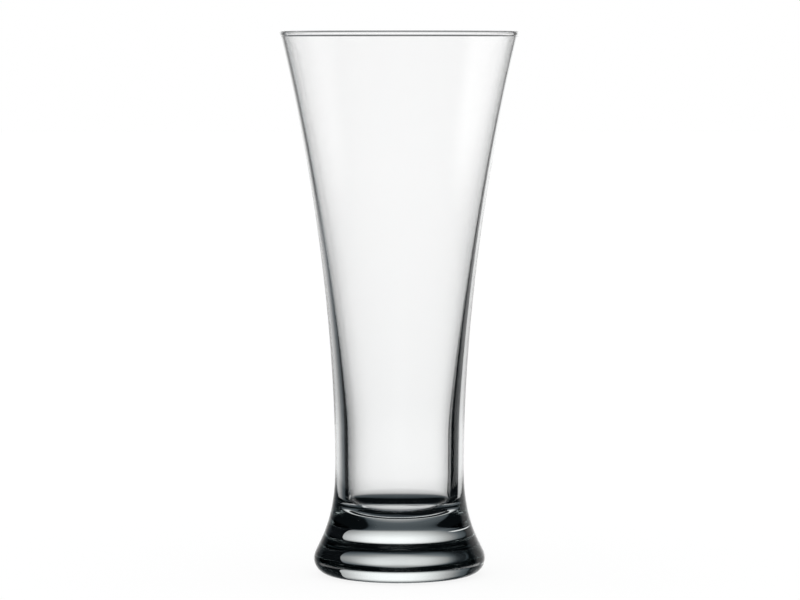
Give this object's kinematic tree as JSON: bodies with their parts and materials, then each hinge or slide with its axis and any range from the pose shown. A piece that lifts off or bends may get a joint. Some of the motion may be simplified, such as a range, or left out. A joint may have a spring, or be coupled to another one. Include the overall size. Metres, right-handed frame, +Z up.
{
  "type": "pilsner glass",
  "caption": "Tall clear drinking glass for beer, with a wall that flares from a narrow waist to a thin lip, on a heavy solid foot.",
  "frame": {"origin": "centre of the rest ring under the foot, on the surface that the glass stands on", "axes": "+Z up along the axis of the glass, from the foot to the rim; X and Y are free, because the glass is round"},
  "size_m": [0.0794, 0.0794, 0.18],
  "materials": {
    "clear_glass": "clear soda-lime glass, smooth and fire-polished"
  },
  "bodies": {
    "root": {"glass": "clear_glass"}
  },
  "joints": []
}
